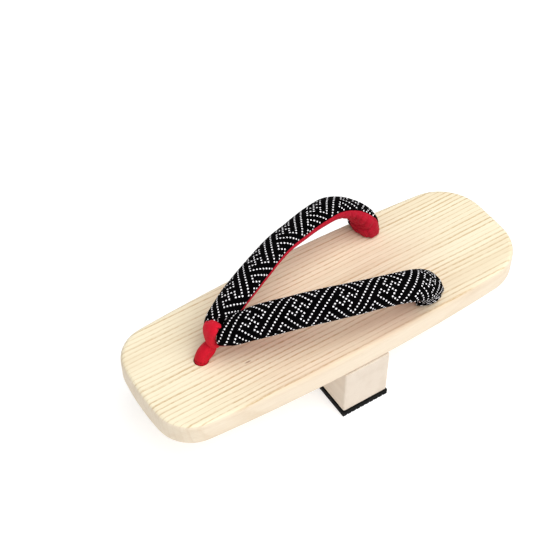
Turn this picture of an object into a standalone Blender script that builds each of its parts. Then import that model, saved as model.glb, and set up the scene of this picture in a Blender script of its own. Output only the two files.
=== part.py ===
"""A geta sandal with one tooth: a wooden footboard on a single cross tooth, with a padded V strap.

+X points to the toe, +Y to the wearer's left, +Z up. The origin is on the floor under the board's middle.
"""

import math

import bmesh
import bpy
import numpy as np
from mathutils import Vector

# Footboard
board_length = 0.240
board_width = 0.0845
board_thickness = 0.0155
# How far each edge bows outward between its corners
side_bow = 0.0061
toe_bow = 0.0042
heel_bow = 0.0010
toe_corner_radius = 0.022
heel_corner_radius = 0.0285
board_edge_radius = 0.0025

# Tooth and rubber tread pad
tooth_length = 0.030
tooth_height = 0.033
tooth_edge_radius = 0.0010
pad_thickness = 0.004
pad_overhang = 0.0005
pad_edge_radius = 0.0006

# Holes in the board, at their centres: the front one from the toe end, the rear pair from the heel end
front_hole_setback = 0.0388
rear_hole_setback = 0.0705
rear_hole_y = 0.0315
front_hole_x = board_length / 2 - front_hole_setback
rear_hole_x = rear_hole_setback - board_length / 2

# Strap
strap_width = 0.0185
strap_thickness = 0.011
strap_rise = 0.0295
strap_neck_diameter = 0.009
strap_crown_share = 0.55
# The arm's foot draws in over this height, in two steps, just above the board
foot_rounding = 0.0012
foot_edge = 0.0003
rear_knot_diameter = 0.0125
rear_knot_height = 0.007

# Toe thong: a band in a loop round the strap's point, and a round stem down through the front hole
loop_setback = 0.0089
loop_lift = 0.0166
loop_half_length = 0.0042
loop_half_height = 0.0073
band_width = 0.0083
band_thickness = 0.0026
stem_diameter = 0.0080
front_knot_diameter = 0.015
front_knot_height = 0.010

# Pieces that meet lie this far apart
fit_gap = 0.0003

# Mesh fineness
section_points = 24
section_spacing = 0.004
corner_steps = 10
side_steps = 18
end_steps = 8
hole_sides = 32

# Heights above the floor
tooth_bottom = pad_thickness + fit_gap
tooth_top = tooth_bottom + tooth_height
board_bottom = tooth_top + fit_gap
board_top = board_bottom + board_thickness

# The strap's arm from its point to the board, as shares of the strap's own sizes:
# back: from the front hole to the rear holes; out: of the rear holes' distance from the middle;
# up: of the strap's rise above the board; wide and thick: of its width and thickness;
# lean: degrees that the outer side dips; heading: degrees in plan, with 180 straight back
ARM_STATIONS = [
    # back   out    up     wide   thick  lean  heading
    (0.052, 0.020, 0.570, 0.200, 0.400,   4, 158),
    (0.055, 0.030, 0.572, 0.330, 0.640,   4, 158),
    (0.061, 0.050, 0.580, 0.430, 0.780,   5, 158),
    (0.072, 0.080, 0.595, 0.530, 0.850,   6, 158),
    (0.096, 0.120, 0.630, 0.670, 0.880,  10, 158),
    (0.126, 0.165, 0.680, 0.800, 0.900,  14, 159),
    (0.228, 0.340, 0.824, 0.970, 0.930,  18, 158),
    (0.363, 0.571, 0.929, 0.965, 0.940,  21, 158),
    (0.485, 0.768, 1.000, 0.960, 0.960,  24, 159),
    (0.611, 0.924, 0.985, 0.965, 0.990,  22, 161),
    (0.731, 1.050, 0.959, 0.975, 1.010,  14, 163),
    (0.828, 1.120, 0.890, 1.000, 1.000,  10, 163),
    (0.917, 1.098, 0.675, 1.030, 1.040,   6, 163),
    (0.977, 1.020, 0.390, 1.070, 1.150,  -4, 162),
    (0.993, 1.000, 0.150, 1.060, 1.200,  -8, 160),
]


def arc_radius(chord, sag):
    """Radius of the arc that bows by sag over a chord."""
    return (chord ** 2 / 4 + sag ** 2) / (2 * sag)


def arc_points(centre, radius, start, stop, steps):
    """Points on an arc in the XY plane, from one angle to another."""
    return [
        (centre[0] + radius * math.cos(a), centre[1] + radius * math.sin(a))
        for a in np.linspace(start, stop, steps + 1)
    ]


def corner_centre(side_radius, side_y, end_radius, end_x, corner_radius):
    """Centre of the corner arc that runs smoothly into a side's arc and an end's arc."""
    reach = math.hypot(end_x, side_y)
    to_side = side_radius - corner_radius
    to_end = end_radius - corner_radius
    along = (to_side ** 2 - to_end ** 2 + reach ** 2) / (2 * reach)
    off = math.sqrt(max(to_side ** 2 - along ** 2, 0))
    ux = end_x / reach
    uy = -side_y / reach
    choices = [
        (along * ux - s * off * uy, side_y + along * uy + s * off * ux)
        for s in (1, -1)
    ]
    return max((c for c in choices if c[1] > 0), key=lambda c: c[0])


def board_outline():
    """The board's outline: bowed sides and ends, joined by corner arcs, anticlockwise from the toe."""
    side_radius = arc_radius(board_length, side_bow)
    side_y = board_width / 2 - side_radius
    end_chord = board_width - 1.6 * side_bow
    ends = []
    for bow, radius in ((toe_bow, toe_corner_radius), (heel_bow, heel_corner_radius)):
        end_radius = arc_radius(end_chord, bow)
        end_x = board_length / 2 - end_radius
        centre = corner_centre(side_radius, side_y, end_radius, end_x, radius)
        from_end = math.atan2(centre[1], centre[0] - end_x)
        to_side = math.atan2(centre[1] - side_y, centre[0])
        ends.append((end_radius, end_x, centre, radius, from_end, to_side))
    toe, heel = ends
    half = arc_points((toe[1], 0), toe[0], 0, toe[4], end_steps)
    half += arc_points(toe[2], toe[3], toe[4], toe[5], corner_steps)[1:]
    half += arc_points((0, side_y), side_radius, toe[5], math.pi - heel[5], side_steps)[1:]
    heel_corner = arc_points(heel[2], heel[3], heel[4], heel[5], corner_steps)
    half += [(-x, y) for x, y in reversed(heel_corner)][1:]
    heel_end = arc_points((heel[1], 0), heel[0], 0, heel[4], end_steps)
    half += [(-x, y) for x, y in reversed(heel_end)][1:]
    other = [(x, -y) for x, y in reversed(half[1:-1])]
    return half + other


def new_material(name, colour, roughness):
    material = bpy.data.materials.new(name)
    material.use_nodes = True
    shader = material.node_tree.nodes["Principled BSDF"]
    shader.inputs["Base Color"].default_value = (*colour, 1)
    shader.inputs["Roughness"].default_value = roughness
    shader.inputs["Metallic"].default_value = 0
    return material


def new_object(name, mesh, collection, material=None):
    thing = bpy.data.objects.new(name, mesh)
    collection.objects.link(thing)
    if material:
        mesh.materials.append(material)
    return thing


def shade(thing, angle=40):
    """Smooth shading, with edges sharper than the angle kept crisp."""
    thing.data.shade_smooth()
    thing.data.set_sharp_from_angle(angle=math.radians(angle))


def add_bevel(thing, width, segments):
    bevel = thing.modifiers.new("Rounded edges", "BEVEL")
    bevel.width = width
    bevel.segments = segments
    bevel.limit_method = "ANGLE"
    bevel.angle_limit = math.radians(50)


def add_boolean(thing, other, operation):
    boolean = thing.modifiers.new(operation.title(), "BOOLEAN")
    boolean.operation = operation
    boolean.solver = "EXACT"
    boolean.object = other


def box_mesh(name, size):
    """A box about its own centre."""
    mesh = bpy.data.meshes.new(name)
    bm = bmesh.new()
    bmesh.ops.create_cube(bm, size=1)
    bmesh.ops.scale(bm, vec=size, verts=bm.verts)
    bm.to_mesh(mesh)
    bm.free()
    return mesh


def mesh_from_curve(curve_object):
    """Turns a curve object into a mesh object of the same name, with its caps welded."""
    graph = bpy.context.evaluated_depsgraph_get()
    mesh = bpy.data.meshes.new_from_object(curve_object.evaluated_get(graph))
    bm = bmesh.new()
    bm.from_mesh(mesh)
    bmesh.ops.remove_doubles(bm, verts=bm.verts, dist=1e-7)
    bm.to_mesh(mesh)
    bm.free()
    name = curve_object.name
    collection = curve_object.users_collection[0]
    placed = curve_object.matrix_world.copy()
    bpy.data.objects.remove(curve_object)
    thing = new_object(name, mesh, collection)
    thing.matrix_world = placed
    return thing


def tube(name, points, radii, depth, closed, collection, sides_setting):
    """A round tube along a line of points, with a radius factor at each point."""
    curve = bpy.data.curves.new(name, "CURVE")
    curve.dimensions = "3D"
    curve.bevel_depth = depth
    curve.bevel_resolution = sides_setting
    curve.use_fill_caps = not closed
    spline = curve.splines.new("POLY")
    spline.points.add(len(points) - 1)
    for slot, point, radius in zip(spline.points, points, radii):
        slot.co = (*point, 1)
        slot.radius = radius
    spline.use_cyclic_u = closed
    thing = bpy.data.objects.new(name, curve)
    collection.objects.link(thing)
    bpy.context.view_layer.update()
    return thing


def smooth_line(rows, longest_step):
    """Values along a Catmull-Rom line through the rows, whose first 3 columns are a place."""
    rows = np.array(rows, float)
    padded = np.vstack([2 * rows[0] - rows[1], rows, 2 * rows[-1] - rows[-2]])
    fine = []
    for i in range(1, len(padded) - 2):
        a, b, c, d = padded[i - 1:i + 3]
        steps = math.ceil(np.linalg.norm((c - b)[:3]) / longest_step)
        for t in np.linspace(0, 1, steps, endpoint=False):
            fine.append(0.5 * (2 * b + (c - a) * t + (2 * a - 5 * b + 4 * c - d) * t ** 2
                               + (3 * b - 3 * c + d - a) * t ** 3))
    fine.append(padded[-2])
    return np.array(fine)


def strap_section(centre, forward, width, thickness, lean, heading, is_round):
    """One closed section: a crowned top over a flatter underside, or a circle for the neck and the knot."""
    turn = math.radians(heading)
    outward = Vector((math.sin(turn), -math.cos(turn), 0))
    outward -= forward * outward.dot(forward)
    outward.normalize()
    top = outward.cross(forward)
    tilt = math.radians(lean)
    across = outward * math.cos(tilt) - top * math.sin(tilt)
    above = top * math.cos(tilt) + outward * math.sin(tilt)
    points = []
    for i in range(section_points):
        angle = 2 * math.pi * i / section_points
        c = math.cos(angle)
        s = math.sin(angle)
        u = width / 2 * math.copysign(abs(c) ** 0.9, c)
        if is_round:
            u = width / 2 * c
            v = thickness / 2 * s
        elif s > 0:
            v = thickness * strap_crown_share * s ** 0.95
        else:
            v = -thickness * (1 - strap_crown_share) * abs(s) ** 0.75
        points.append(centre + across * u + above * v)
    return points


def strap_mesh():
    """The left arm, open at the middle plane, from the strap's point to its knot under the board."""
    span = front_hole_x - rear_hole_x
    rows = []
    for back, out, up, wide, thick, lean, heading in ARM_STATIONS:
        x = front_hole_x - back * span
        y = out * rear_hole_y
        z = board_top + up * strap_rise
        rows.append((x, y, z, wide * strap_width, thick * strap_thickness, lean, heading))
    arm = smooth_line(rows, section_spacing)
    ends = arm[-1]
    lean, heading = ends[5], ends[6]
    # Below the arm: its foot just above the board, the neck in the hole, and the knot below
    foot = board_top + fit_gap
    neck = strap_neck_diameter
    knot_top = board_bottom - fit_gap
    below = [
        (foot + foot_rounding, ends[3] * 0.97, ends[4] * 0.97, False),
        (foot + foot_edge, ends[3] * 0.90, ends[4] * 0.90, False),
        (foot, ends[3] * 0.82, ends[4] * 0.82, False),
        (foot, neck, neck, True),
        (knot_top, neck, neck, True),
    ]
    for angle in (35, 60, 90, 120, 150, 170):
        turn = math.radians(angle)
        z = knot_top - rear_knot_height / 2 * (1 - math.cos(turn))
        across = rear_knot_diameter * math.sin(turn)
        below.append((z, across, across, True))
    rows = [(*row, False) for row in arm]
    for z, wide, thick, is_round in below:
        rows.append((rear_hole_x, rear_hole_y, z, wide, thick, lean, heading, is_round))
    centres = [Vector(row[:3]) for row in rows]
    bm = bmesh.new()
    rings = []
    for i, row in enumerate(rows):
        if i < len(arm) - 1:
            forward = centres[i + 1] - centres[max(i - 1, 0)]
        else:
            forward = Vector((0, 0, -1))
        section = strap_section(centres[i], forward.normalized(), *row[3:])
        rings.append([bm.verts.new(p) for p in section])
    for one, other in zip(rings, rings[1:]):
        for i in range(section_points):
            j = (i + 1) % section_points
            bm.faces.new((one[i], one[j], other[j], other[i]))
    bm.faces.new(reversed(rings[0]))
    bm.faces.new(rings[-1])
    bmesh.ops.recalc_face_normals(bm, faces=bm.faces)
    # The two arms press together at the middle plane, so each is flat there
    bmesh.ops.bisect_plane(
        bm,
        geom=bm.verts[:] + bm.edges[:] + bm.faces[:],
        dist=1e-9,
        plane_co=(0, 0, 0),
        plane_no=(0, -1, 0),
        clear_outer=True,
    )
    mesh = bpy.data.meshes.new("strap")
    bm.to_mesh(mesh)
    bm.free()
    return mesh


def thong(name, extra, collection):
    """The toe thong as one solid, grown by extra all round when it is used as a cutter."""
    loop_x = front_hole_x - loop_setback
    loop_z = board_top + loop_lift
    steps = 30
    points = []
    radii = []
    flat = band_thickness / 2 + extra
    for i in range(steps):
        angle = 2 * math.pi * i / steps
        points.append((
            loop_x + loop_half_length * math.cos(angle),
            0,
            loop_z + loop_half_height * math.sin(angle),
        ))
        # The band is gathered to about half its width where it passes between the arms
        gather = 1 - 0.42 * ((1 - math.cos(angle)) / 2) ** 2
        radii.append((band_thickness / 2 * gather + extra) / flat)
    loop = tube(name, points, radii, flat, True, collection, 5)
    loop.scale = (1, (band_width / 2 + extra) / flat, 1)
    bpy.context.view_layer.update()
    loop = mesh_from_curve(loop)

    bottom = loop_z - loop_half_height
    fall = bottom - board_top
    stem_rows = [
        (loop_x + 0.14 * loop_setback, 0, bottom, 0.66),
        (loop_x + 0.42 * loop_setback, 0, board_top + 0.76 * fall, 1.02),
        (loop_x + 0.74 * loop_setback, 0, board_top + 0.48 * fall, 1.12),
        (loop_x + 0.93 * loop_setback, 0, board_top + 0.24 * fall, 1.06),
        (front_hole_x, 0, board_top + 0.07 * fall, 1.00),
        (front_hole_x, 0, board_top - 0.02 * fall, 0.99),
        (front_hole_x, 0, board_bottom, 1.00),
        (front_hole_x, 0, board_bottom - fit_gap - front_knot_height / 2, 0.90),
    ]
    line = smooth_line(stem_rows, section_spacing / 2)
    depth = stem_diameter / 2 + extra
    radii = [(r * stem_diameter / 2 + extra) / depth for r in line[:, 3]]
    stem = tube(name + "_stem", line[:, :3], radii, depth, False, cutters, 5)
    stem = mesh_from_curve(stem)

    mesh = bpy.data.meshes.new(name + "_knot")
    bm = bmesh.new()
    bmesh.ops.create_uvsphere(bm, u_segments=20, v_segments=12, radius=0.5)
    size = (front_knot_diameter + 2 * extra, front_knot_diameter + 2 * extra, front_knot_height + 2 * extra)
    bmesh.ops.scale(bm, vec=size, verts=bm.verts)
    bm.to_mesh(mesh)
    bm.free()
    knot = new_object(name + "_knot", mesh, cutters)
    knot.location = (front_hole_x, 0, board_bottom - fit_gap - front_knot_height / 2)

    add_boolean(loop, stem, "UNION")
    add_boolean(loop, knot, "UNION")
    return loop


for thing in list(bpy.data.objects):
    bpy.data.objects.remove(thing)

sandal = bpy.data.collections.new("geta_sandal")
cutters = bpy.data.collections.new("cutters")
bpy.context.scene.collection.children.link(sandal)
bpy.context.scene.collection.children.link(cutters)

deck_wood = new_material("deck_wood", (0.86, 0.72, 0.52), 0.55)
tooth_wood = new_material("tooth_wood", (0.83, 0.70, 0.56), 0.60)
black_rubber = new_material("black_rubber", (0.012, 0.011, 0.011), 0.80)
black_cloth = new_material("black_cloth", (0.010, 0.009, 0.011), 0.85)
red_cloth = new_material("red_cloth", (0.60, 0.010, 0.030), 0.80)

# Footboard: the outline raised to the board's thickness, its rim rounded, with three bored holes
mesh = bpy.data.meshes.new("board")
bm = bmesh.new()
rim = [bm.verts.new((x, y, 0)) for x, y in board_outline()]
face = bm.faces.new(rim)
raised = bmesh.ops.extrude_face_region(bm, geom=[face])
lifted = [v for v in raised["geom"] if isinstance(v, bmesh.types.BMVert)]
bmesh.ops.translate(bm, vec=(0, 0, board_thickness), verts=lifted)
bmesh.ops.recalc_face_normals(bm, faces=bm.faces)
bm.to_mesh(mesh)
bm.free()
board = new_object("board", mesh, sandal, deck_wood)
board.location = (0, 0, board_bottom)
add_bevel(board, board_edge_radius, 4)
hole_places = [
    (front_hole_x, 0, stem_diameter),
    (rear_hole_x, rear_hole_y, strap_neck_diameter),
    (rear_hole_x, -rear_hole_y, strap_neck_diameter),
]
for number, (x, y, inside) in enumerate(hole_places):
    mesh = bpy.data.meshes.new("hole")
    bm = bmesh.new()
    radius = inside / 2 + fit_gap
    bmesh.ops.create_cone(
        bm,
        cap_ends=True,
        segments=hole_sides,
        radius1=radius,
        radius2=radius,
        depth=2 * board_thickness,
    )
    bm.to_mesh(mesh)
    bm.free()
    hole = new_object("hole_%d" % number, mesh, cutters)
    hole.location = (x, y, board_bottom + board_thickness / 2)
    add_boolean(board, hole, "DIFFERENCE")

# Cross tooth: flush with the board's sides at its middle
tooth = new_object("tooth", box_mesh("tooth", (tooth_length, board_width, tooth_height)), sandal, tooth_wood)
tooth.location = (0, 0, (tooth_bottom + tooth_top) / 2)
add_bevel(tooth, tooth_edge_radius, 3)

# Rubber tread pad under the tooth
pad_size = (tooth_length + 2 * pad_overhang, board_width + 2 * pad_overhang, pad_thickness)
pad = new_object("tread_pad", box_mesh("tread_pad", pad_size), sandal, black_rubber)
pad.location = (0, 0, pad_thickness / 2)
add_bevel(pad, pad_edge_radius, 2)

# Toe thong, and the same shape grown by the gap that clears it through the strap
toe_thong = thong("toe_thong", 0, sandal)
toe_thong.data.materials.append(red_cloth)
thong_room = thong("thong_room", fit_gap, cutters)

# Strap: the left arm mirrored to the right and cleared for the thong
strap = new_object("strap", strap_mesh(), sandal, black_cloth)
mirror = strap.modifiers.new("Both arms", "MIRROR")
mirror.use_axis = (False, True, False)
mirror.merge_threshold = 0.000001
add_boolean(strap, thong_room, "DIFFERENCE")

for thing in sandal.objects:
    shade(thing)
for thing in cutters.objects:
    thing.hide_render = True
    thing.display_type = "WIRE"
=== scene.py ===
"""Looks of the geta sandal: pale planed wood, a padded dotted strap lined in red, and a red toe loop."""

import math

import bmesh
import bpy
import numpy as np
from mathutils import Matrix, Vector, noise


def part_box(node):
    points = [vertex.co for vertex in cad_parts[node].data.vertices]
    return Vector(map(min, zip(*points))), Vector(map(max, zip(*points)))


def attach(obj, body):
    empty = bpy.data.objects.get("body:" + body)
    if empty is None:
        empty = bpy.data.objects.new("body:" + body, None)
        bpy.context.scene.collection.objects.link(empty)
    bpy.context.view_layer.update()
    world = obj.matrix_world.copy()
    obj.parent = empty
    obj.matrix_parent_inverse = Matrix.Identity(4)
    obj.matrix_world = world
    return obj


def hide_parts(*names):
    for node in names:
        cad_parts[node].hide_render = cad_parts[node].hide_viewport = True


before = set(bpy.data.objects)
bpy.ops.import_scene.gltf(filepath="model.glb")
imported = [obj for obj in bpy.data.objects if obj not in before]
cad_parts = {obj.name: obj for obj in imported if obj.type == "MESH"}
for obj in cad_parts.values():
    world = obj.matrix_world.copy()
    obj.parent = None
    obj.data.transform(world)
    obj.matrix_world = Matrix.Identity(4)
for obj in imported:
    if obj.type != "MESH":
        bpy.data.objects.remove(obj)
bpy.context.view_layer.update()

from types import SimpleNamespace

# The view of the photograph: a camera at the toe's left, looking down on the sandal across the toe.
# Lengths are in metres and angles in degrees, but the lens and the sensor are in millimetres.
view_target = Vector((0.01442, -0.02515, 0.0531))
view_distance = 0.6923
view_azimuth = math.radians(147.02)
view_elevation = math.radians(48.53)
view_lens = 78.13
view_sensor = 36
view_back = Vector((
    math.sin(view_azimuth) * math.cos(view_elevation),
    -math.cos(view_azimuth) * math.cos(view_elevation),
    math.sin(view_elevation),
))
camera_data = bpy.data.cameras.new("camera")
camera_data.sensor_width = view_sensor
camera_data.lens = view_lens
camera = bpy.data.objects.new("camera", camera_data)
camera.location = view_target + view_back * view_distance
camera.rotation_euler = view_back.to_track_quat("Z", "Y").to_euler()
bpy.context.scene.collection.objects.link(camera)
bpy.context.scene.camera = camera


# Footboard: one plank of light softwood, sawn so that its year rings stand upright and run from heel to
# toe as thin tan lines. It is planed smooth, its rim is rounded over, and it is left bare.
board_low, board_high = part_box("board")
board_ring_spacing = 0.00285
board_ring_lean = 7
board_ring_wander = 0.0036
board_early_wood = (0.90, 0.82, 0.61)
board_late_wood = (0.62, 0.46, 0.26)
# Tint of the upright faces, darker and pinker than the top: painted shade
board_side_painted_shade = (0.91, 0.87, 0.92)
board_grain_depth = 0.00018
# The pinker middle is partly the wood's own heart and partly painted shade and painted red bounce light
# from the strap above it
# The plank's middle is pinker: where along it, and how far it stays so and fades out on either side
heart_tint_and_painted_shade = (0.885, 0.79, 0.80)
heart_x = -0.005
heart_reach = 0.025
heart_fade = 0.105
# One small dark fleck in the grain, near the toe hole
fleck_place = (0.0609, 0.0148)
fleck_length = 0.0026
fleck_width = 0.0007
fleck_colour = (0.25, 0.13, 0.07)


def shader_node(tree, kind, inputs=None, **settings):
    """Adds a shader node; each input is a value or another node's output."""
    node = tree.nodes.new(kind)
    for name, value in settings.items():
        setattr(node, name, value)
    for key, value in (inputs or {}).items():
        if isinstance(value, bpy.types.NodeSocket):
            tree.links.new(value, node.inputs[key])
        else:
            node.inputs[key].default_value = value
    return node


def maths(tree, operation, *values):
    """The output of a math node."""
    node = shader_node(tree, "ShaderNodeMath", dict(enumerate(values)), operation=operation)
    return node.outputs[0]


def object_parts(tree):
    """The x, y and z of the shaded point, in metres."""
    place = shader_node(tree, "ShaderNodeTexCoord").outputs["Object"]
    return shader_node(tree, "ShaderNodeSeparateXYZ", {0: place}).outputs


def ramp_between(tree, value, low, high, to_low=0.0, to_high=1.0):
    """A smooth step of a value, from to_low at low to to_high at high."""
    inputs = {"Value": value, "From Min": low, "From Max": high, "To Min": to_low, "To Max": to_high}
    return shader_node(tree, "ShaderNodeMapRange", inputs, interpolation_type="SMOOTHSTEP").outputs[0]


def stretched_noise(tree, parts, scales, detail=2.0):
    """Noise whose coordinates are scaled one by one, in cycles a metre."""
    scaled = [maths(tree, "MULTIPLY", part, scale) for part, scale in zip(parts, scales)]
    vector = shader_node(tree, "ShaderNodeCombineXYZ", dict(enumerate(scaled))).outputs[0]
    inputs = {"Vector": vector, "Scale": 1.0, "Detail": detail}
    return shader_node(tree, "ShaderNodeTexNoise", inputs).outputs[0]


def mixed(tree, factor, one, other, blend="MIX"):
    """Two colours mixed by a factor."""
    node = tree.nodes.new("ShaderNodeMix")
    node.data_type = "RGBA"
    node.blend_type = blend
    colour_inputs = [socket for socket in node.inputs if socket.type == "RGBA"]
    pairs = ((node.inputs[0], factor), (colour_inputs[0], one), (colour_inputs[1], other))
    for socket, value in pairs:
        if isinstance(value, bpy.types.NodeSocket):
            tree.links.new(value, socket)
        else:
            socket.default_value = (*value, 1) if isinstance(value, tuple) else value
    return [socket for socket in node.outputs if socket.type == "RGBA"][0]


def new_shader(name, roughness, specular):
    """A material with its node tree and its principled shader."""
    material = bpy.data.materials.new(name)
    material.use_nodes = True
    shader = material.node_tree.nodes["Principled BSDF"]
    shader.inputs["Roughness"].default_value = roughness
    shader.inputs["Specular IOR Level"].default_value = specular
    return material, material.node_tree, shader


def add_bump(tree, shader, height, depth, strength=1.0):
    """Raises the surface by a height from 0 to 1, depth metres deep."""
    inputs = {"Height": height, "Distance": depth, "Strength": strength}
    bump = shader_node(tree, "ShaderNodeBump", inputs)
    tree.links.new(bump.outputs[0], shader.inputs["Normal"])


def grained_wood(name, along_axis, spacing, lean, early, late, line_strength, wander):
    """Bare planed wood whose year rings stand nearly upright and run along one axis."""
    material, tree, shader = new_shader(name, roughness=0.58, specular=0.25)
    x, y, up = object_parts(tree)
    along, across = (x, y) if along_axis == "X" else (y, x)
    parts = (along, across, up)
    # Year rings: their place across the plank, which sways slowly and ripples a little along it
    lean = math.radians(lean)
    ring = maths(tree, "ADD", maths(tree, "MULTIPLY", across, math.cos(lean)),
                 maths(tree, "MULTIPLY", up, math.sin(lean)))
    for cycles, detail, width in (((7, 22, 22), 1, wander), ((45, 90, 90), 2, wander * 0.22)):
        sway = maths(tree, "SUBTRACT", stretched_noise(tree, parts, cycles, detail), 0.5)
        ring = maths(tree, "ADD", ring, maths(tree, "MULTIPLY", sway, width))
    count = maths(tree, "DIVIDE", ring, spacing)
    share = maths(tree, "FRACT", count)
    number = maths(tree, "FLOOR", count)
    vigour = shader_node(tree, "ShaderNodeTexWhiteNoise", {"W": number}, noise_dimensions="1D").outputs[0]
    # Late wood darkens slowly and stops short at the ring's edge; in some years it is broader and darker
    start = ramp_between(tree, vigour, 0, 1, 0.74, 0.48)
    broad = ramp_between(tree, stretched_noise(tree, parts, (9, 45, 45), 2), 0.42, 0.66, 0.0, 0.20)
    start = maths(tree, "SUBTRACT", start, broad)
    rise = ramp_between(tree, share, start, 0.88)
    stop = ramp_between(tree, share, 0.90, 1.0, 1.0, 0.0)
    darkness = ramp_between(tree, vigour, 0, 1, 0.50, 1.0)
    line = maths(tree, "MULTIPLY", maths(tree, "MULTIPLY", rise, stop), darkness)
    # Each line is broken into fine dashes, and is fainter in some patches
    dashes = ramp_between(tree, stretched_noise(tree, parts, (380, 2400, 2400), 2), 0.32, 0.66, 0.50, 1.25)
    patches = ramp_between(tree, stretched_noise(tree, parts, (15, 70, 70), 2), 0.35, 0.65, 0.62, 1.25)
    line = maths(tree, "MULTIPLY", maths(tree, "MULTIPLY", line, dashes), patches)
    # The rings' lines hardly show on the upright faces, where the saw has left them dull
    facing = shader_node(tree, "ShaderNodeTexCoord").outputs["Normal"]
    facing = shader_node(tree, "ShaderNodeSeparateXYZ", {0: facing}).outputs["Z"]
    plain = ramp_between(tree, maths(tree, "ABSOLUTE", facing), 0.45, 0.90, 0.16, 1.0)
    line = maths(tree, "MULTIPLY", line, plain)
    amount = maths(tree, "MULTIPLY", line, line_strength)
    colour = mixed(tree, amount, early, late)
    # Broad soft streaks and fine fibres, both along the grain
    streaks = ramp_between(tree, stretched_noise(tree, parts, (4, 120, 120), 2), 0.40, 0.72)
    colour = mixed(tree, maths(tree, "MULTIPLY", streaks, 0.25), colour, late)
    fibres = stretched_noise(tree, parts, (70, 1500, 1500), 3)
    light = ramp_between(tree, fibres, 0.25, 0.75, 0.0, 1.0)
    colour = mixed(tree, maths(tree, "MULTIPLY", light, 0.14), colour, late)
    return SimpleNamespace(material=material, tree=tree, shader=shader, parts=parts, colour=colour,
                           line=line, fibres=fibres, plain=plain)


deck_wood = grained_wood(
    "deck_wood_grain", "X", board_ring_spacing, board_ring_lean, board_early_wood, board_late_wood,
    line_strength=1.05, wander=board_ring_wander,
)
tree = deck_wood.tree
along, across = deck_wood.parts[:2]
# The pinker middle, partly the wood's own tone and partly painted strap shade and painted red bounce light,
# lies on its top alone, in soft clouds
from_heart = maths(tree, "ABSOLUTE", maths(tree, "SUBTRACT", along, heart_x))
heart_and_painted_shade = ramp_between(tree, from_heart, heart_reach, heart_fade, 1.0, 0.12)
cloud = ramp_between(tree, stretched_noise(tree, deck_wood.parts, (14, 30, 30), 2), 0.3, 0.7, 0.45, 1.0)
heart_and_painted_shade = maths(tree, "MULTIPLY", maths(tree, "MULTIPLY", heart_and_painted_shade, cloud), deck_wood.plain)
colour = mixed(tree, heart_and_painted_shade, deck_wood.colour, heart_tint_and_painted_shade, "MULTIPLY")
# The upright faces are made darker and pinker than the top by which way they face: painted shade
side_shade_mask = ramp_between(tree, deck_wood.plain, 0.2, 0.9, 1.0, 0.0)
colour = mixed(tree, side_shade_mask, colour, mixed(tree, 1.0, colour, board_side_painted_shade, "MULTIPLY"))
ahead = maths(tree, "DIVIDE", maths(tree, "SUBTRACT", along, fleck_place[0]), fleck_length)
aside = maths(tree, "DIVIDE", maths(tree, "SUBTRACT", across, fleck_place[1]), fleck_width)
squares = [maths(tree, "POWER", part, 2) for part in (ahead, aside)]
away = maths(tree, "SQRT", maths(tree, "ADD", *squares))
fleck = ramp_between(tree, away, 0.2, 1.0, 0.75, 0.0)
colour = mixed(tree, fleck, colour, fleck_colour)
tree.links.new(colour, deck_wood.shader.inputs["Base Color"])
relief = maths(tree, "ADD", maths(tree, "MULTIPLY", deck_wood.line, 0.6),
               maths(tree, "MULTIPLY", deck_wood.fibres, 0.4))
add_bump(tree, deck_wood.shader, relief, board_grain_depth, 0.6)
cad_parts["board"].material_slots[0].material = deck_wood.material


# Cross tooth: a block of a closer-grained wood, paler and pinker than the board, glued under its middle.
# Its grain runs across the sandal, so its two outer sides show end grain.
tooth_ring_spacing = 0.0021
tooth_ring_lean = 24
tooth_ring_wander = 0.003
tooth_early_wood = (0.72, 0.63, 0.53)
tooth_late_wood = (0.54, 0.43, 0.33)
tooth_grain_depth = 0.00012

tooth_wood = grained_wood(
    "tooth_wood_grain", "Y", tooth_ring_spacing, tooth_ring_lean, tooth_early_wood, tooth_late_wood,
    line_strength=0.30, wander=tooth_ring_wander,
)
tooth_wood.tree.links.new(tooth_wood.colour, tooth_wood.shader.inputs["Base Color"])
add_bump(tooth_wood.tree, tooth_wood.shader, tooth_wood.fibres, tooth_grain_depth, 0.5)
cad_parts["tooth"].material_slots[0].material = tooth_wood.material


# Tread pad: a plate of black rubber glued under the tooth, with shallow grooves across the walking
# direction for grip.
pad_low, pad_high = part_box("tread_pad")
groove_pitch = 0.0031
groove_width = 0.0009
groove_depth = 0.0005
# Half the width of a groove's floor, as a share of the groove's own
groove_floor_reach = 0.35
pad_rounding = 0.0005
rubber_colour = (0.005, 0.005, 0.005)
rubber_dust_colour = (0.018, 0.016, 0.015)
rubber_grit_depth = 0.00010


def mesh_piece(name, points, faces, materials, smooth=True):
    """A new object from points and faces, at the origin of the frame."""
    mesh = bpy.data.meshes.new(name)
    mesh.from_pydata([tuple(p) for p in points], [], faces)
    for material in materials:
        mesh.materials.append(material)
    mesh.validate()
    if smooth:
        mesh.shade_smooth()
    piece = bpy.data.objects.new(name, mesh)
    bpy.context.scene.collection.objects.link(piece)
    return piece


pad_length = pad_high.x - pad_low.x
groove_count = int((pad_length - groove_width) / groove_pitch)
# The plate's outline seen from the side, with its grooves cut in from below
profile = [(pad_low.x, pad_high.z), (pad_low.x, pad_low.z)]
for number in range(groove_count):
    middle = (number - (groove_count - 1) / 2) * groove_pitch
    profile += [
        (middle - groove_width / 2, pad_low.z),
        (middle - groove_width * groove_floor_reach, pad_low.z + groove_depth),
        (middle + groove_width * groove_floor_reach, pad_low.z + groove_depth),
        (middle + groove_width / 2, pad_low.z),
    ]
profile += [(pad_high.x, pad_low.z), (pad_high.x, pad_high.z)]
points = [(x, y, z) for y in (pad_low.y, pad_high.y) for x, z in profile]
corners = len(profile)
faces = [(i, (i + 1) % corners, corners + (i + 1) % corners, corners + i) for i in range(corners)]
faces += [tuple(reversed(range(corners))), tuple(range(corners, 2 * corners))]

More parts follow.
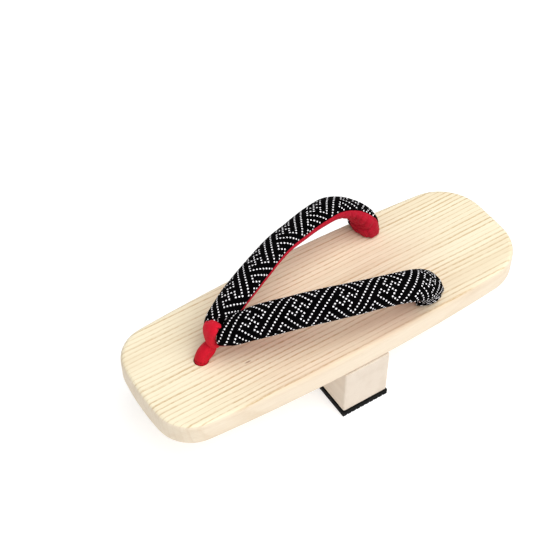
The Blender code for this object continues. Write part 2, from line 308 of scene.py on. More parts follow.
rubber, tree, shader = new_shader("tread_rubber", roughness=0.80, specular=0.08)
parts = object_parts(tree)
grit = stretched_noise(tree, parts, (2600, 2600, 2600), 2)
dust = ramp_between(tree, stretched_noise(tree, parts, (160, 160, 160), 3), 0.45, 0.80, 0.0, 0.35)
colour = mixed(tree, dust, rubber_colour, rubber_dust_colour)
tree.links.new(colour, shader.inputs["Base Color"])
add_bump(tree, shader, grit, rubber_grit_depth, 0.7)

tread = mesh_piece("tread_plate", points, faces, [rubber], smooth=False)
rounding = tread.modifiers.new("Moulded edges", "BEVEL")
rounding.width = pad_rounding
rounding.segments = 3
rounding.limit_method = "ANGLE"
rounding.angle_limit = math.radians(80)
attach(tread, "root")
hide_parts("tread_pad")


# Strap: a stuffed roll of black cloth, printed with white dots in the old key-fret pattern and lined
# underneath with red. Both arms meet at the toe, and each ends in a gathered foot, drawn into its hole.
# An arm's line and sizes are the solid strap's, and what the soft cloth adds to them follows further down.
front_hole_from_toe = 0.0388
rear_hole_from_heel = 0.0705
front_hole_x = board_high.x - front_hole_from_toe
rear_hole_x = board_low.x + rear_hole_from_heel
rear_hole_y = 0.0315
strap_width = 0.0185
strap_thickness = 0.011
strap_rise = 0.0295
# The section's crown, as a share of its thickness, and how round its sides, crown and belly are: 1 is an
# ellipse, and less is squarer
crown_share = 0.55
side_roundness = 0.9
crown_roundness = 0.95
belly_roundness = 0.75
neck_diameter = 0.009
neck_shoulder = 0.001
cord_taper = 0.7
# The foot's size where it meets the board, as a share of its full size
foot_end_share = 0.76
foot_steps = 8
touch_gap = 0.0003
board_top = board_high.z
board_bottom = board_low.z
# The red loop, which holds the point: its middle behind the front hole, and half its length
loop_behind_hole = 0.0089
loop_x = front_hole_x - loop_behind_hole
loop_half_length = 0.0042
# Where the arms' ends meet behind the loop's middle, how they slant forward from there and how far at most,
# and the height above the board from which they lean back, and by how much
arm_tip_behind_loop = 0.0021
arm_tip_x = loop_x - arm_tip_behind_loop
arm_tip_slant = 0.8
arm_reach = 0.0038
arm_tip_softness = 0.0006
tip_lean_height = 0.018
tip_lean = 0.35
# Half the room that the loop takes between the arms, over what length it closes, and how softly the arms
# press together
loop_room = 0.0026
loop_room_length = 0.0018
press_softness = 0.0007

# The roll's middle from the front hole back to a rear hole: its way back and out and its height above the
# board, its width and thickness, all as shares, and its lean and heading in degrees
ARM_STATIONS = [
    # back   out    up     wide   thick  lean  heading
    (0.052, 0.020, 0.570, 0.200, 0.400,   4, 158),
    (0.055, 0.030, 0.572, 0.330, 0.640,   4, 158),
    (0.061, 0.050, 0.580, 0.430, 0.780,   5, 158),
    (0.072, 0.080, 0.595, 0.530, 0.850,   6, 158),
    (0.096, 0.120, 0.630, 0.670, 0.880,  10, 158),
    (0.126, 0.165, 0.680, 0.800, 0.900,  14, 159),
    (0.228, 0.340, 0.824, 0.970, 0.930,  18, 158),
    (0.363, 0.571, 0.929, 0.965, 0.940,  21, 158),
    (0.485, 0.768, 1.000, 0.960, 0.960,  24, 159),
    (0.611, 0.924, 0.985, 0.965, 0.990,  22, 161),
    (0.731, 1.050, 0.959, 0.975, 1.010,  14, 163),
    (0.828, 1.120, 0.890, 1.000, 1.000,  10, 163),
    (0.917, 1.098, 0.675, 1.030, 1.040,   6, 163),
    (0.977, 1.020, 0.390, 1.070, 1.150,  -4, 162),
    (0.993, 1.000, 0.150, 1.060, 1.200,  -8, 160),
]

# Where the black cloth's outer and inner seams lie round the roll, in degrees from its outer side over
# its top, for the left and the right arm: the cloth turns as it is drawn into the hole
outer_seam = -20
inner_seam = 180
SEAM_STATIONS = [
    # share  left outer, inner  right outer, inner
    (0.00, outer_seam, inner_seam, outer_seam, inner_seam + 6),
    (0.35, outer_seam, inner_seam, outer_seam, inner_seam + 7),
    (0.58, outer_seam, inner_seam, outer_seam, inner_seam + 2),
    (0.70, outer_seam, inner_seam, outer_seam, inner_seam - 6),
    (0.80, -24, 176, -22, 167),
    (0.90, -50, 165, -36, 156),
    (1.00, -115, 130, -62, 138),
]
cloth_steps = 48
lining_steps = 40
section_samples = 241
strap_step = 0.0008
seam_valley_depth = 0.00040
seam_valley_width = 0.00065
# How far the foot of each arm spreads on the board past its solid: forward, outward (or inward, below
# zero) and backward
FOOT_SPREAD = {"left": (0.0050, -0.0042, 0.0030), "right": (0.0006, 0.0012, 0.0004)}
foot_start = 0.80
foot_spread_height = 0.017
foot_spread_reach = 0.006
# Gathers that run towards the hole, deep ones and fine ones: their count round the roll, how far and how
# often they sway, which way the arm's seed shifts that, and their depth and sharpness
GATHERS = [
    # count sway waves shift depth  sharpness
    (9,  0.8, 2,  1, 0.00060, 2.5),
    (23, 1.1, 3, -1, 0.00018, 2.0),
]
# Wrinkles across the lining in each arm's bend: the share of the arm, and the depth
WRINKLES = [
    (0.795, 0.0006), (0.835, 0.0012), (0.868, 0.0017), (0.898, 0.0015), (0.930, 0.0016), (0.962, 0.0012),
]
# Their width and sway, as shares of the arm
wrinkle_width = 0.0065
wrinkle_sway = 0.010
# How much fuller the roll is along its outer seam: the share of the arm, and the extra thickness
FULLER_SIDE = [(0.0, 0.0018), (0.07, 0.0017), (0.15, 0.0009), (0.45, 0.0007), (0.62, 0.0)]
fuller_side_width = 0.0055
# Uneven stuffing: its depth, and its lumps a metre
stuffing_depth = 0.00016
stuffing_lumps = 95
# Where the bend down to the hole starts, and how far on it is whole, as shares of the arm
bend_start = 0.78
bend_length = 0.1
rear_knot_height = 0.007
rear_knot_width = 0.0125
# How far the cord goes into its knot, as a share of the knot's height
rear_knot_entry = 0.4
weave_depth = 0.00008


def smooth_line(rows, longest_step):
    """Values along a Catmull-Rom line through the rows, whose first 3 columns are a place."""
    rows = np.array(rows, float)
    padded = np.vstack([2 * rows[0] - rows[1], rows, 2 * rows[-1] - rows[-2]])
    fine = []
    for i in range(1, len(padded) - 2):
        a, b, c, d = padded[i - 1:i + 3]
        steps = math.ceil(np.linalg.norm((c - b)[:3]) / longest_step)
        for t in np.linspace(0, 1, steps, endpoint=False):
            fine.append(0.5 * (2 * b + (c - a) * t + (2 * a - 5 * b + 4 * c - d) * t ** 2
                               + (3 * b - 3 * c + d - a) * t ** 3))
    fine.append(padded[-2])
    return np.array(fine)


def section_shape(width, thickness, angles, roundness):
    """The roll's section in its own plane: crowned above and flatter below, or round."""
    c = np.cos(angles)
    s = np.sin(angles)
    u = np.copysign(np.abs(c) ** side_roundness, c) / 2
    crown = crown_share * np.abs(s) ** crown_roundness
    belly = -(1 - crown_share) * np.abs(s) ** belly_roundness
    v = np.where(s > 0, crown, belly)
    u = u * (1 - roundness) + c / 2 * roundness
    v = v * (1 - roundness) + s / 2 * roundness
    return u * width, v * thickness


def even_angles(width, thickness, roundness, start, stop, count):
    """Angles that divide a stretch of the section into equal lengths, and the stretch's length."""
    angles = np.radians(np.linspace(start, stop, section_samples))
    u, v = section_shape(width, thickness, angles, roundness)
    lengths = np.r_[0, np.cumsum(np.hypot(np.diff(u), np.diff(v)))]
    return np.interp(np.linspace(0, lengths[-1], count + 1), lengths, angles), lengths[-1]


def placed_section(centre, forward, shape, lean, heading):
    """A section's points in the frame, square to the way the roll runs."""
    turn = math.radians(heading)
    outward = np.array((math.sin(turn), -math.cos(turn), 0.0))
    outward -= forward * outward.dot(forward)
    outward /= np.linalg.norm(outward)
    top = np.cross(outward, forward)
    tilt = math.radians(lean)
    across = outward * math.cos(tilt) - top * math.sin(tilt)
    above = top * math.cos(tilt) + outward * math.sin(tilt)
    return centre + np.outer(shape[0], across) + np.outer(shape[1], above)


def grid_normals(grid):
    """Outward normals of a grid of rings round a roll."""
    along = np.gradient(grid, axis=0)
    around = np.roll(grid, -1, axis=1) - np.roll(grid, 1, axis=1)
    normals = np.cross(along, around)
    normals /= np.linalg.norm(normals, axis=2, keepdims=True) + 1e-12
    middle = grid.mean(axis=1, keepdims=True)
    if np.einsum("ijk,ijk->", normals, grid - middle) < 0:
        normals = -normals
    return normals


def soft_limit(distance, softness):
    """Keeps a distance above zero, easing into the limit."""
    return (distance + np.sqrt(distance ** 2 + softness ** 2)) / 2


def arm_grid(side):
    """One arm as a left arm: its rings of points, each ring's share of the arm, and for each ring the
    black cloth's girth and how much of it lies outside the top line."""
    span = front_hole_x - rear_hole_x
    rows = []
    for back, out, up, wide, thick, lean, heading in ARM_STATIONS:
        place = (front_hole_x - back * span, out * rear_hole_y, board_top + up * strap_rise)
        rows.append((*place, wide * strap_width, thick * strap_thickness, lean, heading))
    arm = smooth_line(rows, strap_step)
    last = arm[-1]
    # The foot rounds in as it presses on the board, and a round neck goes down through the hole
    foot_height = last[2] - board_top - touch_gap
    below = []
    for t in np.linspace(0, 1, foot_steps + 1)[1:]:
        size = foot_end_share + (1 - foot_end_share) * math.sqrt(1 - t ** 4)
        x = last[0] + (rear_hole_x - last[0]) * t
        z = board_top + touch_gap + foot_height * (1 - t)
        below.append((x, last[1], z, last[3] * size, last[4] * size, last[5], last[6]))
    middle = (board_top + board_bottom) / 2
    neck_heights = (board_top + touch_gap, board_top - neck_shoulder, middle, board_bottom)
    neck = [(rear_hole_x, rear_hole_y, z, neck_diameter, neck_diameter, 0, last[6]) for z in neck_heights]
    into_knot = board_bottom - rear_knot_height * rear_knot_entry
    cord = neck_diameter * cord_taper
    neck.append((rear_hole_x, rear_hole_y, into_knot, cord, cord, 0, last[6]))
    rows = np.vstack([arm, below, neck])
    lengths = np.r_[0, np.cumsum(np.linalg.norm(np.diff(arm[:, :3], axis=0), axis=1))]
    share = np.r_[lengths / lengths[-1], np.ones(len(below) + len(neck))]
    seams = np.array(SEAM_STATIONS, float)
    first = 1 if side == "left" else 3
    outer = np.interp(share, seams[:, 0], seams[:, first])
    inner = np.interp(share, seams[:, 0], seams[:, first + 1])
    grid = []
    girths = []
    for i, (x, y, z, width, thickness, lean, heading) in enumerate(rows):
        forward = np.array((0.0, 0.0, -1.0))
        if i < len(arm) - 1:
            forward = rows[i + 1, :3] - rows[max(i - 1, 0), :3]
            forward = forward / np.linalg.norm(forward)
        roundness = 1.0 if i >= len(arm) + len(below) else 0.0
        size = (width, thickness, roundness)
        cloth, girth = even_angles(*size, outer[i], inner[i], cloth_steps)
        lining = even_angles(*size, inner[i], outer[i] + 360, lining_steps)[0]
        outside_top = even_angles(*size, outer[i], 90, 1)[1]
        shape = section_shape(width, thickness, np.r_[cloth, lining[1:-1]], roundness)
        grid.append(placed_section(np.array((x, y, z)), forward, shape, lean, heading))
        girths.append((girth, outside_top))
    return np.array(grid), share, np.array(girths)


def dress_arm(grid, share, side, seed):
    """Gives an arm its seams, gathers and uneven stuffing, and presses it against what it touches."""
    normals = grid_normals(grid)
    columns = grid.shape[1]
    place = np.arange(columns)
    girth = np.linalg.norm(np.roll(grid, -1, axis=1) - grid, axis=2)
    swell = np.zeros(grid.shape[:2])
    # A shallow valley along each seam
    for seam in (0, cloth_steps):
        away = np.abs((place - seam + columns / 2) % columns - columns / 2)[None, :]
        distance = away * girth.mean(axis=1, keepdims=True)
        swell -= seam_valley_depth * np.exp(-(distance / seam_valley_width) ** 2)
    # The roll hangs fuller along its outer seam, most at its point
    away = np.abs((place + columns / 2) % columns - columns / 2)[None, :]
    distance = away * girth.mean(axis=1, keepdims=True)
    fuller = np.interp(share, *np.array(FULLER_SIDE).T)[:, None]
    swell += fuller * np.exp(-(distance / fuller_side_width) ** 2)
    # The gathers deepen towards the hole
    gather = np.clip((share - foot_start) / (1 - foot_start), 0, 1)[:, None] ** 1.2
    turn = 2 * np.pi * place[None, :] / columns
    for count, sway, waves, shift, depth, sharpness in GATHERS:
        pleat = np.sin(count / 2 * turn + sway * np.sin(waves * turn + shift * seed))
        swell -= depth * gather * (1 - np.abs(pleat)) ** sharpness
    # The lining wrinkles across the roll where it bends down
    across_lining = np.sin(np.pi * np.clip((place - cloth_steps) / lining_steps, 0, 1))[None, :]
    sway = wrinkle_sway * np.sin(2 * turn + seed)
    for middle, depth in WRINKLES:
        trough = np.exp(-((share[:, None] - middle - sway) / wrinkle_width) ** 2)
        swell -= depth * across_lining ** 0.6 * trough
    # Uneven stuffing
    for i in range(grid.shape[0]):
        for j in range(columns):
            spot = Vector(grid[i, j]) * stuffing_lumps + Vector((seed, 0, 0))
            swell[i, j] += stuffing_depth * noise.noise(spot)
    # All of this is fainter where the roll is thin
    across = np.linalg.norm(grid.max(axis=1) - grid.min(axis=1), axis=1)
    swell *= np.clip(across / strap_width, 0, 1)[:, None]
    grid = grid + normals * swell[:, :, None]
    # The foot spreads where it rests on the board
    height = (grid[:, :, 2] - board_top) / foot_spread_height
    low = np.clip(1 - height, 0, 1) ** 1.1 * (height > 0) * (share[:, None] > foot_start)
    ahead = np.clip((grid[:, :, 0] - rear_hole_x) / foot_spread_reach, 0, 1)
    outside = np.clip((grid[:, :, 1] - rear_hole_y) / foot_spread_reach, 0, 1)
    behind = np.clip((rear_hole_x - grid[:, :, 0]) / foot_spread_reach, 0, 1)
    forward, outward, backward = FOOT_SPREAD[side]
    grid[:, :, 0] += (forward * ahead - backward * behind) * low
    grid[:, :, 1] += outward * outside * low
    # The arms press together at the middle plane, round the red loop, and their ends slant in to it
    from_loop = grid[:, :, 0] - (loop_x - loop_half_length)
    wall = loop_room * np.exp(-(from_loop / loop_room_length) ** 2)
    grid[:, :, 1] = wall + soft_limit(grid[:, :, 1] - wall, press_softness)
    above = np.clip(grid[:, :, 2] - board_top - tip_lean_height, 0, None)
    front = arm_tip_x + np.minimum(arm_tip_slant * grid[:, :, 1], arm_reach) - tip_lean * above
    grid[:, :, 0] = front - soft_limit(front - grid[:, :, 0], arm_tip_softness)
    return grid


def cloth_lengths(grid, share):
    """How far along the cloth each ring lies: on the middle of the roll, and round the bend on its top."""
    on_middle = np.linalg.norm(np.diff(grid.mean(axis=1), axis=0), axis=1)
    on_top = np.linalg.norm(np.diff(grid[:, cloth_steps // 2], axis=0), axis=1)
    bend = np.clip((share[1:] - bend_start) / bend_length, 0, 1)
    return np.r_[0, np.cumsum(on_middle * (1 - bend) + on_top * bend)]


def roll_faces(rings, columns, first):
    """A closed roll's faces, the material of each, and its corners' places on the cloth grid."""
    faces = []
    slots = []
    corners = []
    for i in range(rings - 1):
        for j in range(columns):
            k = (j + 1) % columns
            at = first + i * columns
            after = at + columns
            faces.append((at + j, at + k, after + k, after + j))
            corners.append(((i, j), (i, j + 1), (i + 1, j + 1), (i + 1, j)))
            slots.append(0 if j < cloth_steps else 1)
    for ring in (0, rings - 1):
        at = first + ring * columns
        faces.append(tuple(range(at, at + columns)))
        corners.append(tuple((ring, j) for j in range(columns)))
        slots.append(0)
    return faces, slots, corners


def woven_cloth(name, colour, other_colour, roughness, specular, sheen, thread, sheen_tint):
    """Plain woven cloth whose threads follow the piece's own cloth coordinates, in metres."""
    material, tree, shader = new_shader(name, roughness, specular)
    shader.inputs["Sheen Weight"].default_value = sheen
    shader.inputs["Sheen Roughness"].default_value = 0.45
    shader.inputs["Sheen Tint"].default_value = (*sheen_tint, 1)
    place = shader_node(tree, "ShaderNodeUVMap", uv_map="cloth").outputs[0]
    u, v, w = shader_node(tree, "ShaderNodeSeparateXYZ", {0: place}).outputs
    turn = 2 * math.pi / thread
    warp = maths(tree, "SINE", maths(tree, "MULTIPLY", u, turn))
    weft = maths(tree, "SINE", maths(tree, "MULTIPLY", v, turn))
    weave = maths(tree, "MULTIPLY_ADD", maths(tree, "MULTIPLY", warp, weft), 0.5, 0.5)
    # Fine fuzz lies on the weave, and its threads show more in some places
    fuzz = stretched_noise(tree, (u, v, w), (2400, 2400, 1), 2)
    worn = ramp_between(tree, stretched_noise(tree, (u, v, w), (120, 120, 1), 3), 0.35, 0.75)
    shadow = maths(tree, "MULTIPLY", maths(tree, "MULTIPLY", weave, worn), 0.7)
    tree.links.new(mixed(tree, shadow, colour, other_colour), shader.inputs["Base Color"])
    relief = maths(tree, "ADD", weave, fuzz)
    add_bump(tree, shader, relief, weave_depth, 0.8)
    return material


black_cloth = woven_cloth(
    "black_cloth_weave", (0.0012, 0.0010, 0.0012), (0.0046, 0.0040, 0.0046),
    roughness=0.95, specular=0.015, sheen=0.004, thread=0.00042, sheen_tint=(0.6, 0.6, 0.65),
)
# The lining is the loop's red cloth made darker: painted shade, as it faces down and in, away from the
# light
shaded_lining_cloth = woven_cloth(
    "shaded_lining_weave", (0.44, 0.010, 0.028), (0.58, 0.016, 0.040),
    roughness=0.7, specular=0.05, sheen=0.10, thread=0.00036, sheen_tint=(1.0, 0.35, 0.40),
)


def outward_faces(mesh):
    """Turns every face to look out of its solid."""
    bm = bmesh.new()
    bm.from_mesh(mesh)
    bmesh.ops.recalc_face_normals(bm, faces=bm.faces)
    bm.to_mesh(mesh)
    bm.free()


def lay_cloth(piece, places):
    """Gives a piece cloth coordinates, in metres, at each corner of each face."""
    layer = piece.data.uv_layers.new(name="cloth")
    for face, corners in zip(piece.data.polygons, places):
        for loop, place in zip(face.loop_indices, corners):
            layer.data[loop].uv = place


cloth_girth, cloth_outside_top = (
    even_angles(strap_width, strap_thickness, 0, outer_seam, stop, 1)[1] for stop in (inner_seam, 90)
)
arms = {}
points = []
faces = []
slots = []
places = []
# The right arm is made as a left one and mirrored, and its seed gives it gathers and stuffing of its own
for side, sign, seed in (("left", 1, 0.0), ("right", -1, 4.3)):
    grid, share, girths = arm_grid(side)
    grid = dress_arm(grid, share, side, seed)
    lengths = cloth_lengths(grid, share)
    grid[:, :, 1] *= sign
    arms[side] = (grid, lengths, share, girths)
    rings, columns = grid.shape[:2]
    more, more_slots, corners = roll_faces(rings, columns, len(points))
    step = cloth_girth / cloth_steps
    places += [[(lengths[i], j * step) for i, j in face] for face in corners]
    faces += more
    slots += more_slots
    points += list(grid.reshape(-1, 3))

strap = mesh_piece("strap_roll", points, faces, [black_cloth, shaded_lining_cloth])
strap.data.polygons.foreach_set("material_index", slots)
lay_cloth(strap, places)
outward_faces(strap.data)
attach(strap, "root")
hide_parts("strap")


# Strap knots: each arm's end is a cord of the same cloth, tied in a knot under the board that is too big
# to pull back up through the hole.
knot_steps = 120
knot_sides = 14
knot_cord_share = 0.28
tube_roundness = 0.95
crease_width = 0.24


def swept_tube(rows, closed, sides, side_axis, crease=0.0):
    """Points, faces and cloth places of a tube along rows of x, y, z, width and thickness, whose width
    lies along the side axis, or along a row's own last 3 values. A crease pinches in both its edges."""
    rows = np.array(rows, float)
    count = len(rows)
    creases = np.broadcast_to(crease, count)
    points = []
    lengths = [0.0]
    for i, (x, y, z, width, thickness, *own_axis) in enumerate(rows):
        after = rows[(i + 1) % count if closed else min(i + 1, count - 1), :3]
        before = rows[(i - 1) % count if closed else max(i - 1, 0), :3]
        ahead = (after - before) / np.linalg.norm(after - before)
        sideways = np.array(own_axis or side_axis, float)
        sideways -= ahead * sideways.dot(ahead)
        sideways /= np.linalg.norm(sideways)
        front = np.cross(sideways, ahead)
        lengths.append(lengths[-1] + np.linalg.norm(after - rows[i, :3]))
        for j in range(sides):
            turn = 2 * math.pi * j / sides
            pinch = 1 - creases[i] * math.exp(-(math.cos(turn) / crease_width) ** 2)
            wide = width / 2 * math.copysign(abs(math.sin(turn)) ** tube_roundness, math.sin(turn)) * pinch
            thick = thickness / 2 * math.copysign(abs(math.cos(turn)) ** tube_roundness, math.cos(turn))
            points.append(np.array((x, y, z)) + sideways * wide + front * thick)
    faces = []
    places = []
    around = math.pi * rows[:, 3:5].mean() / sides
    for i in range(count if closed else count - 1):
        for j in range(sides):
            at = i * sides
            after = (i + 1) % count * sides
            k = (j + 1) % sides
            faces.append((at + j, at + k, after + k, after + j))
            corners = ((i, j), (i, j + 1), (i + 1, j + 1), (i + 1, j))
            places.append([(lengths[p], q * around) for p, q in corners])
    if not closed:
        for ring in (0, count - 1):
            faces.append(tuple(range(ring * sides, (ring + 1) * sides)))
            places.append([(lengths[ring], q * around) for q in range(sides)])
    return points, faces, places


def knot_rows(x, y, width, height):
    """Rows of a cord that crosses over and under itself three times, tied close under the board."""
    cord = width * knot_cord_share
    reach = (width - cord) / 2
    middle = board_bottom - touch_gap - height / 2
    rise = (height - cord) / 2
    rows = []
    for i in range(knot_steps):
        turn = 2 * math.pi * i / knot_steps
        across = math.sin(turn) + 2 * math.sin(2 * turn)
        along = math.cos(turn) - 2 * math.cos(2 * turn)
        place = (x + across * reach / 3, y + along * reach / 3, middle - rise * math.sin(3 * turn))
        rows.append((*place, cord, cord))
    return rows


points = []
faces = []
places = []
for sign in (1, -1):
    rows = knot_rows(rear_hole_x, sign * rear_hole_y, rear_knot_width, rear_knot_height)
    more, more_faces, more_places = swept_tube(rows, True, knot_sides, (0, 0, 1))
    faces += [tuple(len(points) + corner for corner in face) for face in more_faces]
    points += more
    places += more_places
knots = mesh_piece("strap_knots", points, faces, [black_cloth])
lay_cloth(knots, places)
outward_faces(knots.data)
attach(knots, "root")
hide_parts("strap")


# Seam stitches: a row of short red stitches beside the inner seam of each arm, where the black cloth is
# sewn to its lining.
stitch_length = 0.0015
stitch_pitch = 0.0026
stitch_diameter = 0.00032
stitch_sides = 6
stitch_column = cloth_steps + 1.2
stitch_lift = 0.2
first_stitch = 0.014
stitch_twist_depth = 0.00005
stitch_shade = (0.36, 0.004, 0.012)
stitch_light = (0.66, 0.012, 0.030)
# The stitches end this many rings of the grid before the arm's end, which is under the board
rings_without_stitches = 12
# A stitch tapers at both ends: a share of its length, and of its thickness
STITCH_STATIONS = [(0, 0.3), (0.2, 1), (0.8, 1), (1, 0.3)]

thread_red, tree, shader = new_shader("stitch_thread", roughness=0.6, specular=0.2)
parts = object_parts(tree)
twist = stretched_noise(tree, parts, (5200, 5200, 5200), 1)
tree.links.new(mixed(tree, twist, stitch_shade, stitch_light), shader.inputs["Base Color"])
add_bump(tree, shader, twist, stitch_twist_depth, 0.6)


def ring_at(lengths, along):
    """The ring of an arm's grid, with its fraction, at a length along the cloth."""
    return min(np.interp(along, lengths, np.arange(len(lengths))), len(lengths) - 1.001)


def grid_point(grid, normals, ring, column, last_column, lift):
    """A point between the rings and columns of an arm's grid, lifted off the surface."""
    i = int(ring)
    j = min(max(int(column), 0), last_column)
    p = ring - i
    q = column - j
    spot = (grid[i, j] * (1 - p) * (1 - q) + grid[i + 1, j] * p * (1 - q)
            + grid[i, j + 1] * (1 - p) * q + grid[i + 1, j + 1] * p * q)
    return spot + normals[i, j] * lift


points = []
faces = []
for grid, lengths, *_ in arms.values():
    normals = grid_normals(grid)
    for along in np.arange(first_stitch, lengths[-rings_without_stitches], stitch_pitch):
        rows = []
        for share, size in STITCH_STATIONS:
            ring = ring_at(lengths, along + share * stitch_length)
            lift = stitch_diameter * stitch_lift
            spot = grid_point(grid, normals, ring, stitch_column, int(stitch_column), lift)
            rows.append((*spot, size * stitch_diameter, size * stitch_diameter))
        more, more_faces = swept_tube(rows, False, stitch_sides, (0, 0, 1))[:2]
        faces += [tuple(len(points) + corner for corner in face) for face in more_faces]
        points += more
stitches = mesh_piece("seam_stitches", points, faces, [thread_red])
outward_faces(stitches.data)
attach(stitches, "root")
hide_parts("strap")


# Key-fret print: white dots in rows along the roll, which run in slanting lines that turn and hook into
# each other. The old sayagata pattern repeats every 20 dot places in both directions.
dot_pitch_along = 0.00123
dot_pitch_across = 0.00133
dot_radius = 0.00052
dot_height = 0.00007
dot_sides = 10
# A dot is a low dome: the reach and the height of its rings, as shares of its own
DOT_RINGS = [(1.0, -0.3), (0.7, 0.8)]
# How unevenly the dots are printed: how far out of place, and their least and greatest size
dot_misplacing = 0.00002
dot_sizes = (0.94, 1.05)
dot_white = (0.98, 0.96, 0.98)
dot_worn_white = (0.84, 0.82, 0.84)
dot_speckle_depth = 0.00005
repeat = 20
first_row = -4
last_row = 18
# The print starts this far along the arm, and ends this many rings before its end
print_margin = 0.0015
rings_without_print = 5
# Over the bend the cloth is drawn on towards the hole, most at its inner seam: how much for each length
# round the cloth, and where this starts and how far on it is whole, as shares of the cloth's length
print_draw = 0.13
draw_start = 0.66
draw_length = 0.16
# From here on, as shares of the arm, the dots gather with the cloth
crowding_start = 0.72
crowding_length = 0.15
# A dot whose width on the cloth is less than this share of its radius has been turned in at the arm's point
turned_in_width = 1.1

# Even rows have a dot at every fourth place; the odd rows between them link these into the lines
LINK_ROWS = {
    1: (1, 5, 9, 11, 15, 19),
    3: (3, 7, 13, 19),
    5: (5, 9, 13, 15, 17, 19),
    7: (1, 3, 7, 11, 17, 19),
    9: (3, 9, 13, 17),
    11: (1, 5, 7, 11, 15, 17),
    13: (3, 7, 13, 19),
    15: (1, 7, 9, 11, 13, 17),
    17: (3, 5, 7, 9, 15, 19),
    19: (3, 9, 13, 17),
}

# Where the pattern's first dot lies on each arm, along the cloth and round the roll from its top, and
# which way its rows are counted
PRINT_START = {"left": (0.02510, -0.0089, 1), "right": (0.02405, 0.0076, -1)}


def has_dot(column, row):
    """Whether the print has a dot at a place of its pattern."""
    if row % 2 == 0:
        return (column - row) % 4 == 0
    return column % repeat in LINK_ROWS[row % repeat]


def cloth_column(arm, ring, girth):
    """Where on the grid a line round the cloth lies: at its real girth, or gathered with it at the foot."""
    lengths, share, girths = arm[1:]
    whole, outside_top = girths[int(ring)] * (1 - ring % 1) + girths[int(ring) + 1] * (ring % 1)
    gathered = min(max((share[int(ring)] - crowding_start) / crowding_length, 0), 1)
    free = (outside_top + girth) / whole
    tight = (cloth_outside_top + girth) / cloth_girth
    return cloth_steps * (free * (1 - gathered) + tight * gathered)


def on_cloth(arm, normals, along, girth, lift):
    """A point on the black cloth, from its place along the arm and round the roll."""
    grid, lengths = arm[:2]
    drawn = min(max((along / lengths[-1] - draw_start) / draw_length, 0), 1)
    along += print_draw * drawn * (girth + cloth_outside_top)
    ring = ring_at(lengths, along)
    return grid_point(grid, normals, ring, cloth_column(arm, ring, girth), cloth_steps - 1, lift)


chance = np.random.default_rng(7)
edge = dot_radius / cloth_girth * cloth_steps
points = []
faces = []
for side, arm in arms.items():
    lengths = arm[1]
    normals = grid_normals(arm[0])
    start_along, start_girth, direction = PRINT_START[side]
    first_column = math.ceil((print_margin - start_along) / dot_pitch_along)
    last_column = int((lengths[-rings_without_print] - start_along) / dot_pitch_along)
    for column in range(first_column, last_column + 1):
        for row in range(first_row, last_row + 1):
            if not has_dot(column, row):
                continue
            along = start_along + column * dot_pitch_along + chance.normal(0, dot_misplacing)
            girth = start_girth + direction * row * dot_pitch_across + chance.normal(0, dot_misplacing)
            if not edge < cloth_column(arm, ring_at(lengths, along), girth) < cloth_steps - edge:
                continue
            size = dot_radius * chance.uniform(*dot_sizes)
            # The rows end where the cloth is turned in at the arm's point
            before, after = (on_cloth(arm, normals, along + step, girth, 0) for step in (-size, size))
            if np.linalg.norm(after - before) < turned_in_width * size:
                continue
            first = len(points)
            for reach, lift in DOT_RINGS:
                for k in range(dot_sides):
                    turn = 2 * math.pi * k / dot_sides
                    at = (along + size * reach * math.cos(turn), girth + size * reach * math.sin(turn))
                    points.append(on_cloth(arm, normals, *at, lift * dot_height))
            points.append(on_cloth(arm, normals, along, girth, dot_height))
            for k in range(dot_sides):
                n = (k + 1) % dot_sides
                one = (first + k, first + n, first + dot_sides + n, first + dot_sides + k)
                two = (first + dot_sides + k, first + dot_sides + n, first + 2 * dot_sides)
                faces += [one, two]

print_white, tree, shader = new_shader("dot_print_white", roughness=0.75, specular=0.2)
parts = object_parts(tree)
speckle = ramp_between(tree, stretched_noise(tree, parts, (1800, 1800, 1800), 2), 0.3, 0.7)
tree.links.new(mixed(tree, speckle, dot_worn_white, dot_white), shader.inputs["Base Color"])
add_bump(tree, shader, speckle, dot_speckle_depth, 0.6)
dots = mesh_piece("strap_dots", points, faces, [print_white])
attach(dots, "root")
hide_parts("strap")


# Toe loop: a band of soft red cloth, filled and folded round the strap's point. It comes up between the
# arms, leans over the point and goes down under the left arm; both of its ends run down through the toe
# hole as a stem, with a crease down each side.
loop_height = 0.0166
loop_z = board_top + loop_height
loop_half_height = 0.0073
band_width = 0.0083
band_thickness = 0.0026
band_crease = 0.05
stem_diameter = 0.0080
# The crease down each side of the stem runs out just above its hole
stem_crease = 0.30
crease_end = 0.0005
crease_fade = 0.003
front_knot_width = 0.015
front_knot_height = 0.010
front_knot_entry = 0.3
band_sides = 32
band_step = 0.0005
loop_steps = 96
loop_smoothings = 6

# The loop from behind, over the strap's point and down in front of it to the left: its turn in degrees,
# its reach as a share of the loop's half sizes, three shares of the band's width and thickness, and the
# degrees that its right edge dips
LOOP_STATIONS = [
    # turn  reach  aside   wide  thick  dip
    (-180,  1.00,   0.00,  0.58,  0.58,   0),
    (-130,  1.00,   0.10,  0.52,  0.80,   0),
    (-80,   0.90,   0.33,  0.44,  1.35,   0),
    (-45,   0.90,   0.17,  0.64,  1.85,   0),
    (0,     0.72,   0.06,  1.00,  2.20,   6),
    (45,    0.80,  -0.05,  1.36,  2.15,  14),
    (68,    0.86,   0.00,  1.34,  1.90,  16),
    (90,    0.90,  -0.07,  1.14,  1.50,  20),
    (130,   1.00,   0.08,  0.80,  0.85,  20),
    (180,   1.00,   0.00,  0.58,  0.58,   0),
]


red_cloth = woven_cloth(
    "red_cloth_weave", (0.63, 0.008, 0.026), (0.78, 0.014, 0.038),
    roughness=0.6, specular=0.08, sheen=0.10, thread=0.00036, sheen_tint=(1.0, 0.35, 0.40),
)


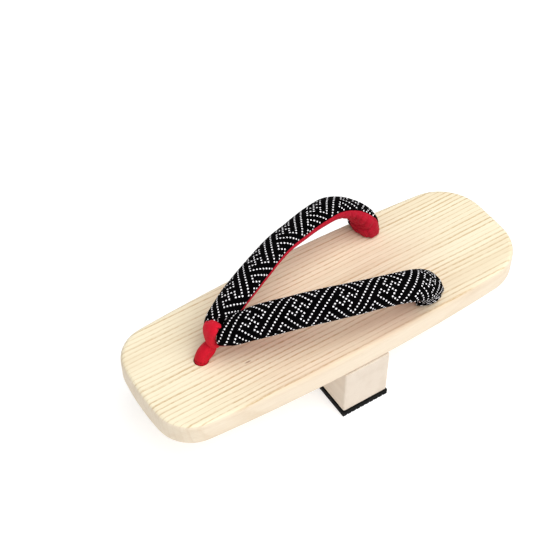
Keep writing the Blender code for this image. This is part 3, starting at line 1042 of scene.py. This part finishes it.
def red_piece(name, points, faces, places):
    """A piece of the toe loop in red cloth."""
    piece = mesh_piece(name, points, faces, [red_cloth])
    lay_cloth(piece, places)
    outward_faces(piece.data)
    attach(piece, "root")
    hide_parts("toe_thong")
    return piece


table = np.array(LOOP_STATIONS)
rows = []
for turn in np.linspace(-180, 180, loop_steps, endpoint=False):
    reach, aside, wide, thick, dip = (np.interp(turn, table[:, 0], table[:, k]) for k in range(1, 6))
    x = loop_x + loop_half_length * reach * math.cos(math.radians(turn))
    z = loop_z + loop_half_height * reach * math.sin(math.radians(turn))
    edge = (0, math.cos(math.radians(dip)), math.sin(math.radians(dip)))
    rows.append((x, aside * band_width, z, wide * band_width, thick * band_thickness, *edge))
# The band's table is stepped, so its sizes are smoothed along it
for _ in range(loop_smoothings):
    rows = [
        [(before + 2 * here + after) / 4 for before, here, after in zip(*three)]
        for three in zip(rows[-1:] + rows[:-1], rows, rows[1:] + rows[:1])
    ]
loop = red_piece("toe_loop", *swept_tube(rows, True, band_sides, (0, 1, 0), band_crease))

bottom = loop_z - loop_half_height
fall = bottom - board_top
setback = front_hole_x - loop_x
# The stem from the loop's bottom down into the hole: its way forward, its height above the board as a
# share of the fall, and its thickness
STEM_STATIONS = [
    # forward  height  size
    (0.14, 1.00, 0.74),
    (0.42, 0.76, 1.02),
    (0.74, 0.48, 1.06),
    (0.93, 0.24, 1.00),
    (1.00, 0.07, 0.95),
    (1.00, -0.02, 0.95),
    (1.00, -1.50, 0.95),
]
rows = [
    (loop_x + forward * setback, 0, board_top + height * fall, size * stem_diameter, size * stem_diameter)
    for forward, height, size in STEM_STATIONS
]
into_knot = board_bottom - front_knot_height * front_knot_entry
rows.append((front_hole_x, 0, into_knot, stem_diameter * cord_taper, stem_diameter * cord_taper))
rows = smooth_line(rows, band_step)
crease = stem_crease * np.clip((rows[:, 2] - board_top - crease_end) / crease_fade, 0, 1)
stem = red_piece("toe_stem", *swept_tube(rows, False, band_sides, (0, 1, 0), crease))
rows = knot_rows(front_hole_x, 0, front_knot_width, front_knot_height)
red_piece("toe_knot", *swept_tube(rows, True, knot_sides, (0, 0, 1)))


# Studio: a plain white floor that glows a little, as a light table does. Two broad soft lights hang over
# it, a strong one and a weak one, and a white sky fills the shadows.
floor_size = 12.0
half = floor_size / 2
floor_grey = (0.60, 0.60, 0.60, 1)
floor_glow = 0.56
sky_strength = 0.40
floor_white, tree, shader = new_shader("floor_white", roughness=0.9, specular=0.1)
shader.inputs["Base Color"].default_value = floor_grey
shader.inputs["Emission Color"].default_value = (1, 1, 1, 1)
shader.inputs["Emission Strength"].default_value = floor_glow
corners = [(-half, -half, 0), (half, -half, 0), (half, half, 0), (-half, half, 0)]
floor = mesh_piece("floor", corners, [(0, 1, 2, 3)], [floor_white], smooth=False)

SOFT_LIGHTS = [
    # name        place                size  watts
    ("key_light", (-0.3, 0.75, 1.65), 2.4, 41),
    ("fill_light", (0.9, 0.9, 1.3), 1.4, 1),
]
for name, place, size, power in SOFT_LIGHTS:
    lamp = bpy.data.lights.new(name, "AREA")
    lamp.shape = "DISK"
    lamp.size = size
    lamp.energy = power
    light = bpy.data.objects.new(name, lamp)
    light.location = place
    light.rotation_euler = Vector(place).to_track_quat("Z", "Y").to_euler()
    bpy.context.scene.collection.objects.link(light)

sky = bpy.data.worlds.new("studio")
sky.use_nodes = True
sky.node_tree.nodes["Background"].inputs[0].default_value = (1, 1, 1, 1)
sky.node_tree.nodes["Background"].inputs[1].default_value = sky_strength
bpy.context.scene.world = sky
bpy.context.scene.view_settings.view_transform = "Standard"
